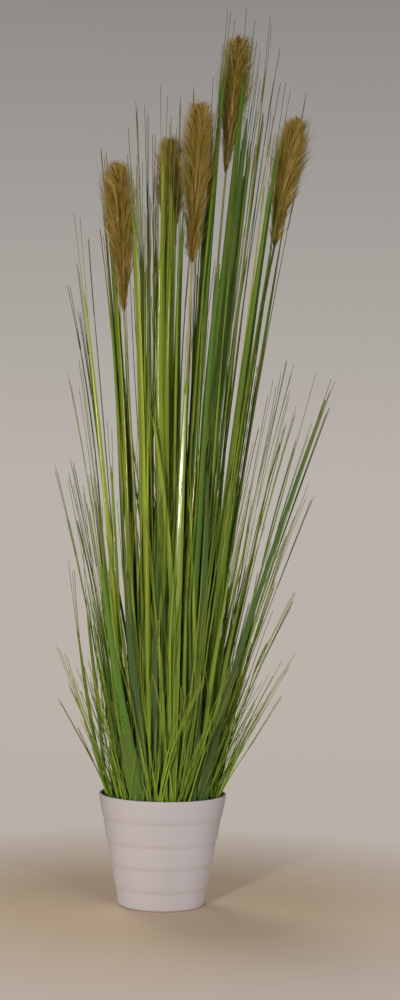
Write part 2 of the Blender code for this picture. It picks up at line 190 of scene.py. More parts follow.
class Recipe:
    # A short way to add nodes to one material or to the world

    def __init__(self, owner, bumpDepth=0):
        owner.use_nodes = True
        self.owner = owner
        self.tree = owner.node_tree
        self.bumpDepth = bumpDepth

    def node(self, kind, **settings):
        made = self.tree.nodes.new("ShaderNode" + kind)
        for key, value in settings.items():
            setattr(made, key, value)
        return made

    def plug(self, source, target):
        if isinstance(source, bpy.types.NodeSocket):
            self.tree.links.new(source, target)
        else:
            target.default_value = source

    def fed(self, made, *sources):
        # A node's first output, with its inputs plugged in their order
        for source, target in zip(sources, made.inputs):
            self.plug(source, target)
        return made.outputs[0]

    def math(self, operation, a, b=0.0):
        return self.fed(self.node("Math", operation=operation), a, b)

    def times(self, a, b):
        return self.math("MULTIPLY", a, b)

    def ramp(self, value, stops):
        made = self.node("ValToRGB")
        bar = made.color_ramp.elements
        while len(bar) < len(stops):
            bar.new(0.5)
        for element, (place, colour) in zip(bar, stops):
            element.position = place
            element.color = (*colour, 1) if isinstance(colour, tuple) else (colour, colour, colour, 1)
        return self.fed(made, value)

    def mix(self, blend, factor, a, b):
        made = self.node("Mix", data_type="RGBA", blend_type=blend)
        self.plug(factor, made.inputs[0])
        for source, target in ((a, made.inputs[6]), (b, made.inputs[7])):
            self.plug((*source, 1) if isinstance(source, tuple) else source, target)
        return made.outputs[2]

    def mapRange(self, value, low, high, newLow, newHigh):
        return self.fed(self.node("MapRange"), value, low, high, newLow, newHigh)

    def noise(self, vector, scale, detail, roughness=0.5):
        made = self.node("TexNoise")
        self.plug(vector, made.inputs["Vector"])
        for key, value in (("Scale", scale), ("Detail", detail), ("Roughness", roughness)):
            made.inputs[key].default_value = value
        return made.outputs["Fac"]

    def place(self):
        return self.node("TexCoord").outputs["Object"]

    def split(self, vector):
        made = self.node("SeparateXYZ")
        self.plug(vector, made.inputs[0])
        return made.outputs

    def uvParts(self):
        return self.split(self.node("UVMap", uv_map="UVMap").outputs[0])[:2]

    def joined(self, x, y, z):
        return self.fed(self.node("CombineXYZ"), x, y, z)

    def tone(self):
        return self.node("Attribute", attribute_name="tone").outputs["Fac"]

    def finish(self, colour, roughness=None, height=None, strength=0):
        self.plug(colour, self.shader.inputs["Base Color"])
        if roughness is not None:
            self.plug(roughness, self.shader.inputs["Roughness"])
        if height is not None:
            bump = self.node("Bump")
            bump.inputs["Strength"].default_value = strength
            bump.inputs["Distance"].default_value = self.bumpDepth
            self.plug(height, bump.inputs["Height"])
            self.plug(bump.outputs[0], self.shader.inputs["Normal"])
        return self.owner


def newMaterial(name, roughness, bumpDepth=0):
    recipe = Recipe(bpy.data.materials.new(name), bumpDepth)
    recipe.shader = recipe.tree.nodes["Principled BSDF"]
    recipe.shader.inputs["Roughness"].default_value = roughness
    return recipe


# Camera, as in the photograph

cameraFacts = {
    "place": (0.0429, -2.66, 0.538),
    "lens": 72,
    "sensor": 36,
    "roll": 1.0,
    "clip": (0.05, 60),
    "picture": (400, 1000),
}


def makeCamera(facts):
    data = bpy.data.cameras.new("camera")
    data.lens = facts["lens"]
    data.sensor_width = facts["sensor"]
    data.clip_start, data.clip_end = facts["clip"]
    camera = newObject("camera", data)
    level = Matrix.Rotation(math.radians(90), 4, "X")
    roll = Matrix.Rotation(math.radians(facts["roll"]), 4, "Z")
    camera.matrix_world = Matrix.Translation(facts["place"]) @ level @ roll
    bpy.context.scene.camera = camera
    print("camera made")


def atSpot(column, row, depth, facts):
    # The point at a depth (its y) that the camera sees at a spot of its picture
    x, y, z = facts["place"]
    width, height = facts["picture"]
    scale = (depth - y) * facts["sensor"] / facts["lens"] / height
    roll = math.radians(facts["roll"])
    right, down = (column - width / 2) * scale, (row - height / 2) * scale
    x = x + right * math.cos(roll) + down * math.sin(roll)
    z = z + right * math.sin(roll) - down * math.cos(roll)
    return x, depth, z


makeCamera(cameraFacts)


# Pot: a moulded shell whose bands step in towards the foot

potFacts = {
    "height": 148 * mm,
    "rimRadius": 84.5 * mm,
    "footRadius": 56 * mm,
    "wall": 3 * mm,
    "floor": 4 * mm,
    "bands": 5,
    "topBand": 30 * mm,
    "bandHeight": 30.8 * mm,
    "bandStep": 1.3 * mm,
    "ledge": 7.0 * mm,  # height over which a ledge turns in
    "bulge": 0.25 * mm,  # how far a band swells in its middle
    "footBevel": 4 * mm,
    "rimRound": 1.4 * mm,
    "rings": (0.55 * mm, 2.4 * mm),  # from one ring to the next near a ledge, and elsewhere
    "ringRoom": (1.5 * mm, 0.5 * mm),  # left free above the foot's bevel, and below the rim's
    "innerRings": (0.15, 0.4, 0.7, 0.95),
    "segments": 128,
    "smoothBelow": 38,  # degrees
    "colour": (0.316, 0.288, 0.298),
    "speckColour": (0.33, 0.27, 0.22),
}


def smooth(share):
    share = min(1, max(0, share))
    return share * share * (3 - 2 * share)


def potOutline(facts):
    # Radius and height from the foot up the outside, over the rim and down the inside
    height, step, half = facts["height"], facts["bandStep"], facts["ledge"] / 2
    slope = (facts["rimRadius"] - facts["footRadius"]) / height
    ledges = [height - facts["topBand"] - i * facts["bandHeight"] for i in range(facts["bands"] - 1)]
    bands = list(zip([*ledges, 0], [height, *ledges]))

    def inBand(z, low, top):
        share = (z - low) / (top - low)
        lean = 1 if top < height else 0.5
        return step * (0.5 - lean * share) + facts["bulge"] * math.sin(math.pi * share)

    def outside(z):
        low, top = next(band for band in bands if z >= band[0])
        shift = inBand(z, low, top)
        for ledge, upper, lower in zip(ledges, bands, bands[1:]):
            if abs(z - ledge) < half:
                share = smooth((z - ledge + half) / (2 * half))
                shift = inBand(ledge - half, *lower) * (1 - share) + inBand(ledge + half, *upper) * share
        return facts["footRadius"] + slope * z + shift

    outline = []
    bevel = facts["footBevel"]
    for i in range(7):
        angle = math.radians(90 * i / 6)
        radius = outside(bevel) - bevel * (1 - math.sin(angle))
        outline.append((radius, bevel * (1 - math.cos(angle))))
    fine, coarse = facts["rings"]
    aboveFoot, belowRim = facts["ringRoom"]
    z = bevel + aboveFoot
    top = height - facts["rimRound"]
    while z < top - belowRim:
        outline.append((outside(z), z))
        near = min(abs(z - ledge) for ledge in ledges)
        z += fine if near < facts["ledge"] else coarse
    inner = facts["rimRadius"] - facts["wall"] - step / 2
    middle, rimHalf = (facts["rimRadius"] + inner) / 2, (facts["rimRadius"] - inner) / 2
    for i in range(9):
        angle = math.radians(180 * i / 8)
        outline.append((middle + rimHalf * math.cos(angle), top + facts["rimRound"] * math.sin(angle)))
    deepest = facts["floor"]
    for share in facts["innerRings"]:
        z = top + (deepest - top) * share
        outline.append((inner - slope * (top - z), z))
    outline.append((outline[-1][0] - bevel, deepest))
    return outline


def drawnUp(name, outline, segments):
    # A closed solid from an outline of radius and height: a disc that is extruded and scaled, step by step
    radius, z = outline[0]
    solid = addDisc(name, segments, radius, z)
    editMode("EDGE")
    pickOpenEdges()
    for nextRadius, nextZ in outline[1:]:
        extrude(nextZ - z, nextRadius / radius)
        radius, z = nextRadius, nextZ
    finishShape()
    return solid


def makePot(facts):
    pot = drawnUp("potShell", potOutline(facts), facts["segments"])
    bpy.ops.object.shade_smooth_by_angle(angle=math.radians(facts["smoothBelow"]))
    return pot


def potMaterial(facts):
    r = newMaterial("creamPlastic", 0.42, 0.00012)
    here = r.place()
    fine = r.noise(here, 900, 2)
    cloud = r.mapRange(r.noise(here, 9, 3), 0.35, 0.65, 0, 1)
    colour = r.mix("MIX", cloud, facts["colour"], dimmed(facts["colour"]))
    specks = r.ramp(r.noise(here, 260, 1), [(0.0, 0.0), (0.735, 0.0), (0.76, 1.0)])
    colour = r.mix("MIX", r.times(specks, 0.35), colour, facts["speckColour"])
    return r.finish(colour, r.mapRange(fine, 0.3, 0.7, 0.36, 0.50), fine, 0.25)


potPiece = makePot(potFacts)
finishPiece(potPiece, ["pot"], potMaterial(potFacts))
print("pot made")


# Filling: a dark, crumbly bed just below the rim

fillFacts = {
    "top": 126 * mm,
    "radius": 75 * mm,
    "depth": 14 * mm,
    "segments": 96,
    "rings": 26,
    "ringReach": 0.96,  # share of the radius that the rings fill
    "footShare": 0.955,
    "ripples": (41 * mm, 17 * mm, 8 * mm, 4.5 * mm),
    "roughHeight": 2.4 * mm,
    "crumbs": 950,
    "crumbSize": (1.0 * mm, 3.4 * mm),
    "crumbReach": 0.965,
    "crumbLift": (-0.6, 1.4),  # of a crumb's middle above the bed, in mm
    "bedTone": 0.2,
    "seed": 4,
}


def waves(points, chance, sizes, headings=5):
    # A smooth random height field, the sum of many slanted waves
    total = np.zeros(len(points))
    for size in sizes:
        for _ in range(headings):
            heading, phase = chance.uniform(0, math.tau), chance.uniform(0, math.tau)
            along = points[:, 0] * math.cos(heading) + points[:, 1] * math.sin(heading)
            total += np.sin(along * math.tau / size + phase) * size
    return total / (headings * sum(sizes)) * 2


def makeCrumb():
    # One crumb of the filling, a chipped lump, unit size
    deselectAll()
    bpy.ops.mesh.primitive_ico_sphere_add(subdivisions=1, radius=1)
    crumb = bpy.context.object
    editMode("FACE")
    pickAll()
    bpy.ops.transform.vertex_random(offset=0.28, seed=3)
    bpy.ops.transform.resize(value=(1.25, 0.8, 0.7))
    objectMode()
    return crumb


def makeFill(facts):
    chance = random.Random(facts["seed"])
    radius, top = facts["radius"], facts["top"]
    bed = addDisc("pottingBed", facts["segments"], radius, top)
    editMode("FACE")
    pickAll()
    for _ in range(facts["rings"]):
        bpy.ops.mesh.inset(thickness=radius * facts["ringReach"] / facts["rings"])
    pickOpenEdges()
    extrude(-facts["depth"], facts["footShare"])
    bpy.ops.mesh.fill()
    finishShape()
    corners = cornersOf(bed)
    upper = corners[:, 2] > top - facts["depth"] / 2
    corners[upper, 2] += waves(corners, chance, facts["ripples"])[upper] * facts["roughHeight"]
    moveCorners(bed, corners)
    bed.data.shade_smooth()
    crumb = makeCrumb()
    shape = cornersOf(crumb)
    corners = []
    for _ in range(facts["crumbs"]):
        away = radius * facts["crumbReach"] * math.sqrt(chance.random())
        angle = chance.uniform(0, math.tau)
        turn = Matrix.Rotation(chance.uniform(0, math.tau), 3, (chance.random(), chance.random(), 0.3))
        size = chance.uniform(*facts["crumbSize"])
        height = top + chance.uniform(*facts["crumbLift"]) * mm
        corners.append(shape @ np.array(turn) * size + (away * math.cos(angle), away * math.sin(angle), height))
    crumbs = copiesOf(crumb, "crumbs", corners, [chance.random() for _ in corners], [(0, 1)] * len(corners))
    crumbs.data.shade_flat()
    removePieces(crumb)
    addTone(bed.data, [facts["bedTone"]] * len(bed.data.vertices))
    joinPieces(bed, crumbs)
    return bed


def fillMaterial():
    r = newMaterial("pottingMix", 0.95, 0.0008)
    lumps = r.noise(r.place(), 240, 4, 0.6)
    colour = r.ramp(r.tone(), [(0.0, (0.018, 0.012, 0.008)), (0.5, (0.045, 0.028, 0.016)),
                               (0.85, (0.085, 0.055, 0.03)), (1.0, (0.16, 0.12, 0.08))])
    colour = r.mix("MULTIPLY", 0.8, colour, r.ramp(lumps, [(0.3, 0.35), (0.7, 1.0)]))
    return r.finish(colour, r.mapRange(lumps, 0.3, 0.7, 0.8, 1.0), lumps, 0.8)


fillPiece = makeFill(fillFacts)
finishPiece(fillPiece, ["potting_fill"], fillMaterial())
print("filling made")


# Reading the frame's own lines, so that every new piece grows where its solid stands

def levelsOf(node):
    # The corners of a CAD solid, merged, and its edges as a list of neighbours
    edit = bmesh.new()
    edit.from_mesh(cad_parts[node].data)
    bmesh.ops.remove_doubles(edit, verts=edit.verts, dist=0.00001)
    edit.verts.ensure_lookup_table()
    corners = [corner.co.copy() for corner in edit.verts]
    near = [[edge.other_vert(corner).index for edge in corner.link_edges] for corner in edit.verts]
    edit.free()
    return corners, near


def sameLevel(corners, some):
    return max(corners[i].z for i in some) - min(corners[i].z for i in some) < 0.0002


def fitted(points):
    # The smooth line through some points, as two curves over its height
    x, y, z = zip(*points)
    return {"x": np.polyfit(z, x, 2), "y": np.polyfit(z, y, 2), "low": min(z), "high": max(z)}


def bladeLines(node):
    # From each blade's point down: the ring of three corners at each of its stations
    corners, near = levelsOf(node)
    lines = []
    for tip, around in enumerate(near):
        if len(around) != 3 or not sameLevel(corners, around) or corners[around[0]].z > corners[tip].z:
            continue
        rings = [around]
        while len(rings) < 3:
            below = {j for i in rings[-1] for j in near[i] if corners[j].z < corners[i].z - 0.0005}
            rings.append(sorted(below, key=lambda j: -corners[j].z)[:3])
        points = [corners[tip]]
        for ring in rings:
            pairs = [(i, j) for i in ring for j in ring if i < j]
            left, right = max(pairs, key=lambda pair: (corners[pair[0]] - corners[pair[1]]).length)
            points.append((corners[left] + corners[right]) / 2)
            if ring is rings[1]:
                across = corners[right] - corners[left]
                across *= 1 if across.x > 0 else -1
        lines.append({**fitted(points), "across": math.atan2(across.y, across.x)})
    return lines


def pointsOn(line, z):
    return np.column_stack((np.polyval(line["x"], z), np.polyval(line["y"], z), z))


# Blades and the hair-thin threads that they end in

bladeFacts = {
    "thickness": 0.45 * mm,
    "fold": (0.06, 0.32),  # depth of the gutter, as a share of half the width
    "rootDepth": 6 * mm,
    "segments": 22,
    "narrowSegments": 15,
    "broadFrom": 5.5 * mm,  # blades at least this wide are modelled with a rounder gutter
    "threadHalf": (0.52 * mm, 0.40 * mm),
    "threadStart": 0.04,  # threads begin this share of the height below the shoulder
    "threadPlaces": ((0,), (-0.9, 0.9), (-0.9, 0.9, 0.1)),  # across the blade, of one, two or three
    "threadEnds": (0.86, 0.995),  # share of its length at which a second or third thread stops
    "threadLoose": 1.5 * mm,
    "rootRoom": 71 * mm,  # how far from the pot's axis a blade may stand
    "rimRoom": 80.4 * mm,  # blades stay inside this radius until they are above the rim
    "rimHeight": 150 * mm,
    "sleeve": (0.8, 14 * mm),  # radius as a share of the solid foot's, and height
    "seed": 21,
    # Width along a blade, as shares
    "outlines": {
        "tall": ((0, 0.50), (0.1, 0.76), (0.3, 0.96), (0.5, 1.0), (0.7, 0.88), (0.85, 0.66), (0.95, 0.46),
                 (0.985, 0.38), (1, 0.12)),
        "middle": ((0, 0.62), (0.08, 0.88), (0.2, 1.0), (0.4, 0.84), (0.7, 0.50), (0.9, 0.30), (0.985, 0.22),
                   (1, 0.1)),
        "short": ((0, 0.9), (0.08, 1.0), (0.3, 0.95), (0.6, 0.66), (0.9, 0.46), (0.98, 0.40), (1, 0.25)),
        "leaf": ((0, 0.80), (0.08, 1.0), (0.16, 0.96), (0.3, 0.78), (0.45, 0.56), (0.6, 0.42), (0.8, 0.30),
                 (0.985, 0.2), (1, 0.1)),
        "spear": ((0, 0.80), (0.04, 0.92), (0.08, 0.75), (0.12, 0.56), (0.19, 0.42), (0.28, 0.34), (0.39, 0.27),
                  (0.51, 0.22), (0.66, 0.18), (0.81, 0.14), (0.95, 0.10), (1, 0.05)),
    },
    "shoulders": {"spear": 0.95},  # of outlines that end in threads further up than the rest
    "frontTurn": -0.15,  # faces half-way between the camera and the key light
    "narrowTurn": (-0.04, 0.04),  # of each front blade from there
    "broadTurn": (-0.25, 0.25),
    "fillerTurn": (-0.6, 0.6),
    "fillerSpans": ((0.2, 0.8), (0.1, 0.9)),  # share of the way to the next blade, at the foot and the top
    "slenderFillers": 1,
    "broadTwist": 16,
    "frontWander": 1.5 * mm,
    "frontFold": (0.03, 0.04),
    "frontTwist": 7,
    "curlWidth": 2.0 * mm,
    "curlSegments": 170,
    "curlHeight": (0.6, 0.85),
    "curlShift": 4,  # mm
    "toneSpread": 0.21,
    "palest": 0.75,
    "satin": (0.60, 0.74),  # roughness
    "glossy": (0.11, 0.22),
    # Leading tone of each tuft, from deep bluish green at 0 to straw at 1
    "tones": {
        "tall": (0.46, 0.48, 0.36, 0.54, 0.44, 0.58, 0.50, 0.54, 0.40, 0.38, 0.28, 0.34, 0.38, 0.42, 0.36, 0.42,
                 0.30, 0.50, 0.42, 0.46, 0.44),
        "middle": (0.38, 0.46, 0.34, 0.52, 0.12, 0.42, 0.56, 0.52, 0.56, 0.38, 0.32, 0.40, 0.40, 0.36, 0.46),
        "short": (0.60, 0.52, 0.64, 0.56, 0.50, 0.58, 0.50, 0.56, 0.42, 0.50, 0.50, 0.58),
    },
    # Tufts of narrow blades, as shares of the usual width
    "slender": {"tall_07": 0.6, "tall_10": 0.6, "tall_13": 0.42, "tall_14": 0.42, "tall_16": 0.6,
                "tall_19": 0.6},
    # Broad blades that stand out: rank by height in the tuft, width in mm, tone
    "broad": {
        "middle_03": ((2, 11, 0.46),),
        # an olive blade beside the dark spear: painted light, standing for the lit half of the folded spear
        "middle_05": ((1, 4, 0.50),),
        "middle_13": ((0, 9, 0.46),),
        "middle_14": ((0, 11, 0.30), (3, 8, 0.62)),
        "tall_01": ((0, 5, 0.40), (3, 5, 0.46)),
        "tall_02": ((0, 10, 0.36), (1, 7, 0.48)),
        "tall_06": ((0, 9, 0.64), (1, 11, 0.58), (2, 10, 0.52)),
        "tall_08": ((0, 10, 0.46),),
        "tall_09": ((0, 11, 0.30), (1, 9, 0.52)),
        "tall_11": ((0, 12, 0.26), (1, 13, 0.05), (2, 10, 0.16)),
        "tall_12": ((0, 13, 0.24), (1, 13, 0.14), (2, 11, 0.34), (3, 10, 0.22)),
        "tall_15": ((0, 11, 0.32), (1, 4, 0.80), (2, 9, 0.36)),
        "tall_17": ((0, 7, 0.10),),
        "tall_20": ((0, 11, 0.52), (1, 10, 0.40)),
        "tall_21": ((0, 10, 0.20),),
    },
    # Blades at the front of each tuft: outline, width in mm, tone, how many mm the top stands in front of the
    # foot, and from the foot up the spots of the photograph that it goes through
    "fronts": {
        "middle_03": (
            ("leaf", 22, 0.29, 60, (137, 798), (125, 720), (109, 640), (96, 500)),
            ("tall", 5, 0.40, 4, (108, 799), (94, 740), (84, 670), (70, 560))),
        "middle_13": (
            ("tall", 11, 0.0, 52, (148, 797), (138, 720), (130, 640), (117, 500)),
            ("tall", 8, 0.0513, -2, (140, 797), (131, 640), (124, 540), (120, 470)),
            ("tall", 5, 0.56, 14, (131, 796), (118, 660), (110, 600), (102, 510))),
        "middle_05": (
            ("spear", 28, 0.02, 60, (199, 797), (223, 692), (250, 634), (333, 378)),),
        "tall_20": (
            ("tall", 4.6, 0.66, 12, (150, 797), (147, 640), (148, 500), (149, 370)),
            ("tall", 7, 0.58, 12, (171, 797), (170, 600), (165, 490), (148, 390))),
        "tall_09": (
            ("tall", 11, 0.54, 5, (173, 797), (176, 640), (180, 500), (190, 330)),
            ("tall", 5, 0.52, -17, (185, 797), (185, 620), (189, 540), (194, 450))),
        "tall_01": (
            ("tall", 6.5, 0.45, -14, (125, 796), (119, 620), (114, 530), (109, 420)),),
        "middle_14": (
            ("tall", 7, 0.03, 8, (155, 797), (155, 640), (159, 560), (164, 430)),
            ("tall", 5, 0.50, 14, (166, 797), (163, 700), (154, 600), (143, 500)),
            ("tall", 6, 0.34, 12, (143, 797), (157, 640), (167, 560), (179, 470))),
        "tall_21": (
            ("tall", 10, 0.06, 8, (194, 797), (201, 640), (205, 540), (209, 430)),
            ("tall", 5, 0.66, 12, (200, 797), (197, 680), (193, 580), (187, 450)),
            ("tall", 5, 0.38, 12, (205, 797), (214, 650), (222, 590), (234, 490))),
        "middle_15": (
            ("tall", 6, 0.52, 14, (200, 797), (214, 650), (232, 570), (250, 480)),
            ("tall", 6, 0.42, 14, (207, 797), (226, 660), (241, 600), (264, 520))),
        "middle_09": (
            ("tall", 5, 0.40, 14, (211, 797), (233, 667), (252, 618), (281, 540)),),
        "tall_13": (
            ("tall", 7, 0.42, 10, (211, 797), (222, 560), (233, 470), (242, 370)),),
        "short_09": (
            ("short", 3.0, 0.68, 40, (157, 798), (148, 745), (144, 700), (141, 640)),
            ("short", 3.4, 0.62, 40, (150, 798), (141, 745), (131, 705), (115, 640)),
            ("short", 2.8, 0.74, 44, (159, 798), (170, 757), (180, 730), (203, 680)),
            ("short", 2.6, 0.66, 42, (161, 798), (166, 757), (178, 720), (192, 688)),
            ("short", 2.6, 0.70, 42, (163, 798), (176, 745), (192, 705), (208, 672)),
            ("short", 2.4, 0.56, 36, (155, 798), (160, 745), (163, 705), (160, 650))),
        "short_10": (
            ("short", 2.8, 0.68, 44, (172, 798), (165, 740), (160, 708), (152, 672)),
            ("short", 2.6, 0.58, 38, (176, 798), (183, 750), (187, 715), (196, 650)),
            ("short", 3.2, 0.64, 44, (181, 798), (198, 750), (212, 712), (237, 648)),
            ("short", 3.2, 0.70, 42, (185, 798), (200, 757), (214, 715), (231, 670))),
        "short_11": (
            ("short", 2.8, 0.62, 40, (190, 798), (204, 757), (216, 722), (239, 666)),
            ("short", 2.4, 0.62, 34, (211, 798), (211, 755), (209, 710), (204, 655)),
            ("short", 2.6, 0.58, 34, (214, 798), (218, 757), (223, 725), (233, 678))),
        "short_12": (
            ("short", 2.2, 0.68, 26, (214, 798), (231, 757), (244, 725), (270, 672)),
            ("short", 2.2, 0.72, 14, (216, 799), (238, 752), (256, 715), (288, 666)),
            ("short", 2.0, 0.70, 10, (217, 799), (243, 745), (263, 705), (297, 652))),
        "short_08": (
            ("short", 2.4, 0.62, 36, (118, 797), (107, 757), (98, 735), (80, 690)),
            ("short", 2.4, 0.66, 36, (122, 797), (114, 757), (104, 720), (89, 662))),
        "short_07": (
            ("short", 2.2, 0.64, 24, (112, 798), (101, 755), (91, 725), (74, 676)),
            ("short", 2.4, 0.60, 14, (110, 799), (94, 750), (83, 708), (64, 652))),
        "short_06": (
            ("short", 2.4, 0.66, 8, (108, 799), (90, 742), (78, 700), (56, 645)),),
        "middle_01": (
            ("tall", 5, 0.34, 4, (109, 799), (99, 730), (93, 660), (82, 530)),),
    },
}
# What sets the tall, the middle and the short tufts apart, in this order
kindFacts = {
    "glossyFrom": (0.75, 0.92, 0.92),  # blades whose own number is above this are glossy
    "width": ((2.6 * mm, 9.5 * mm), (2.6 * mm, 8.0 * mm), (1.4 * mm, 2.8 * mm)),
    "skew": (1.7, 1.6, 1.4),  # above 1 narrow blades are more common than broad ones
    "shoulder": ((0.86, 0.94), (0.66, 0.80), (0.42, 0.62)),  # share of the height where threads take over
    "threads": ((2, 3), (1, 3), (1, 2)),
    "flare": ((1.2, 2.8), (1.5, 3.6), (1.5, 4.0)),  # how much wider apart the threads end than they start
    "straight": (0.2, 0.4, 0.8),
    "gather": (0.62, 0.45, 0.1),  # how far a tuft's blades draw together half-way up
    "twist": (55, 70, 90),
    "wander": (4 * mm, 3 * mm, 1.5 * mm),
    "fillerWander": (12 * mm, 8 * mm, 3 * mm),
    "rootShift": ((-6 * mm, 8 * mm), (0 * mm, 12 * mm), (4 * mm, 12 * mm)),
    "rootSide": (8 * mm, 10 * mm, 3 * mm),
    "footRadius": (5.8 * mm, 5.0 * mm, 5.0 * mm),
    "fillers": (5, 4, 1),
    "fillerHeight": ((0.34, 0.72), (0.36, 0.80), (0.45, 1.0)),
    "fillerWidth": ((2.2 * mm, 6.0 * mm), (2.0 * mm, 6.0 * mm), (1.2 * mm, 2.4 * mm)),
    "crossers": (3, 2, 2),
    "strays": (5, 3, 3),
    "strayHeight": ((0.34, 0.72), (0.34, 0.80), (0.5, 1.0)),
    "strayReach": (150 * mm, 120 * mm, 135 * mm),  # how far a stray blade may lean over to another tuft
    "curls": (0.4, 0.5, 0.4),  # chance of a twisted strand in a tuft
    "curlTurns": (26, 20, 12),
}
bladeLooks = {
    "tall": ((0.0, (0.022, 0.062, 0.010)), (0.16, (0.036, 0.104, 0.009)), (0.30, (0.062, 0.150, 0.011)),
             (0.42, (0.120, 0.196, 0.011)), (0.60, (0.190, 0.262, 0.014)), (0.76, (0.275, 0.335, 0.030)),
             (0.90, (0.410, 0.440, 0.080)), (1.0, (0.546, 0.426, 0.081))),
    "middle": ((0.0, (0.016, 0.058, 0.016)), (0.16, (0.034, 0.104, 0.013)), (0.30, (0.064, 0.152, 0.012)),
               (0.42, (0.122, 0.202, 0.011)), (0.60, (0.192, 0.270, 0.015)), (0.76, (0.280, 0.345, 0.032)),
               (0.90, (0.410, 0.450, 0.080)), (1.0, (0.546, 0.437, 0.081))),
    "short": ((0.0, (0.029, 0.082, 0.008)), (0.3, (0.096, 0.173, 0.008)), (0.55, (0.192, 0.273, 0.011)),
              (0.8, (0.317, 0.393, 0.021)), (1.0, (0.480, 0.470, 0.061))),
}
threadLooks = {"tall": (0.082, 0.075, 0.027), "middle": (0.115, 0.115, 0.030), "short": (0.148, 0.160, 0.034)}


def bladeMaterial(kind, form, facts):
    r = newMaterial("blade" + kind.capitalize(), 0.34, 0.00012)
    tone = r.tone()
    across, along = r.uvParts()
    own = r.math("FRACT", r.times(tone, 57.3))    # each blade's own number

    def streaks(wide, long, apart, detail):
        return r.noise(r.joined(r.times(across, wide), r.times(along, long), r.times(own, apart)), 1, detail)

    # Long streaks in the plastic, and a few brown ones
    streak = r.ramp(streaks(6, 2.2, 40, 3), [(0.30, 0.55), (0.48, 0.95), (0.72, 1.12)])
    colour = r.mix("MULTIPLY", 1.0, r.ramp(tone, bladeLooks[kind]), streak)
    brown = r.ramp(streaks(3, 1.3, 90, 2), [(0.62, 0.0), (0.70, 0.75)])
    colour = r.mix("MIX", brown, colour, (0.115, 0.085, 0.022))
    # Fine ribs and paler edges
    rib = r.math("SINE", r.times(across, math.tau * 5))
    colour = r.mix("MULTIPLY", 1.0, colour, r.mapRange(rib, -1, 1, 0.90, 1.0))
    off = r.math("ABSOLUTE", r.math("SUBTRACT", across, 0.5))
    pale = r.math("MAXIMUM", r.mapRange(off, 0.05, 0.0, 0, 0.22), r.mapRange(off, 0.43, 0.5, 0, 0.35))
    colour = r.mix("MIX", pale, colour, r.mix("MULTIPLY", 1.0, colour, (2.4, 1.9, 1.6)))
    # Painted shade: darker and bluer low down, where the bunch shades itself; more olive towards the top, and
    # grey-brown threads
    height = r.split(r.place())[2]
    # painted shade low in the bunch
    colour = r.mix("MULTIPLY", r.mapRange(height, 0.50, 0.20, 0, 1), colour, (0.60, 0.75, 0.78))
    colour = r.mix("MULTIPLY", r.mapRange(height, 0.50, 1.05, 0, 0.8), colour, (1.0, 0.90, 0.95))
    ends = r.mapRange(along, form["shoulder"][1], 1.0, 0.25, 0.93)
    colour = r.mix("MIX", ends, colour, threadLooks[kind])
    r.shader.inputs["IOR"].default_value = 1.41
    # Some of the blades are glossy, the others satin
    worn = r.noise(r.joined(r.times(own, 20), r.times(along, 3), 0.0), 1, 1)
    satin, glossy = (r.mapRange(worn, 0.3, 0.7, *facts[finish]) for finish in ("satin", "glossy"))
    isGlossy = r.math("GREATER_THAN", own, form["glossyFrom"])
    return r.finish(colour, r.mapRange(isGlossy, 0, 1, satin, glossy), rib, 0.06)


def modelBlade(acrossCuts, segments):
    # A flat strip with its thickness, from -1 to 1 across (x), along (y) and through (z)
    deselectAll()
    bpy.ops.mesh.primitive_grid_add(x_subdivisions=acrossCuts, y_subdivisions=segments, size=2)
    blade = bpy.context.object
    wall = blade.modifiers.new("wall", "SOLIDIFY")
    wall.thickness = 2
    wall.offset = 0
    bpy.ops.object.modifier_apply(modifier="wall")
    return blade


def modelThread(sides, steps, lastStep=1.0):
    # A rod with a closed foot and a point, laid along y from -1 to 1
    thread = addRod(sides, 2)
    for i in range(steps - 1):
        extrude(2 * (lastStep if i == steps - 2 else 1))
    bpy.ops.mesh.merge(type="CENTER")
    finishShape()
    corners = cornersOf(thread)
    low, high = corners[:, 2].min(), corners[:, 2].max()
    laid = np.column_stack((corners[:, 0], (corners[:, 2] - low) / (high - low) * 2 - 1, -corners[:, 1]))
    moveCorners(thread, laid)
    uv = thread.data.uv_layers.active.data
    for loop in thread.data.loops:
        x, y, _ = laid[loop.vertex_index]
        uv[loop.index].uv = (0.5 + 0.2 * x, (y + 1) / 2)
    return thread


def modelSleeve():
    # The round foot that a tuft's blades are gathered in, of unit radius and height
    sleeve = addRod(14, 1)
    bpy.ops.mesh.bevel(offset=0.16, segments=2)
    pickUpper(sleeve, 0.99)
    bpy.ops.mesh.inset(thickness=0.15)
    extrude(-0.3)
    objectMode()
    return sleeve


def laidAlong(shape, strip):
    # Bends a straight strip along a path. Each value of strip is a function of the share of the length
    share = (shape[:, 1] + 1) / 2
    ahead = strip["path"](share + 0.005) - strip["path"](share - 0.005)
    ahead /= np.linalg.norm(ahead, axis=1)[:, None]
    turn = strip["turn"](share)
    across = np.column_stack((np.cos(turn), np.sin(turn), np.zeros_like(turn)))
    across -= ahead * (across * ahead).sum(axis=1)[:, None]
    across /= np.linalg.norm(across, axis=1)[:, None]
    half = strip["half"](share)
    thick = np.minimum(strip["thick"] / 2, half * 0.9) if strip["thick"] else half
    rise = shape[:, 2] * thick + strip["fold"] * (1 - shape[:, 0] ** 2) * half
    side = across * (shape[:, 0] * half)[:, None]
    corners = strip["path"](share) + side + np.cross(across, ahead) * rise[:, None]
    return insideRim(corners)


def insideRim(corners):
    # Below the rim's top nothing may reach into the pot's wall
    radius = np.linalg.norm(corners[:, :2], axis=1)
    room = np.where(corners[:, 2] < bladeFacts["rimHeight"], bladeFacts["rimRoom"], 1.0)
    corners[:, :2] *= np.minimum(1, room / radius)[:, None]
    return corners


def shareUp(z, low, high):
    return np.clip((z - low) / (high - low), 0, 1)


def sideStep(chance, reach):
    return np.array((chance.uniform(-1, 1), chance.uniform(-1, 1), 0)) * reach


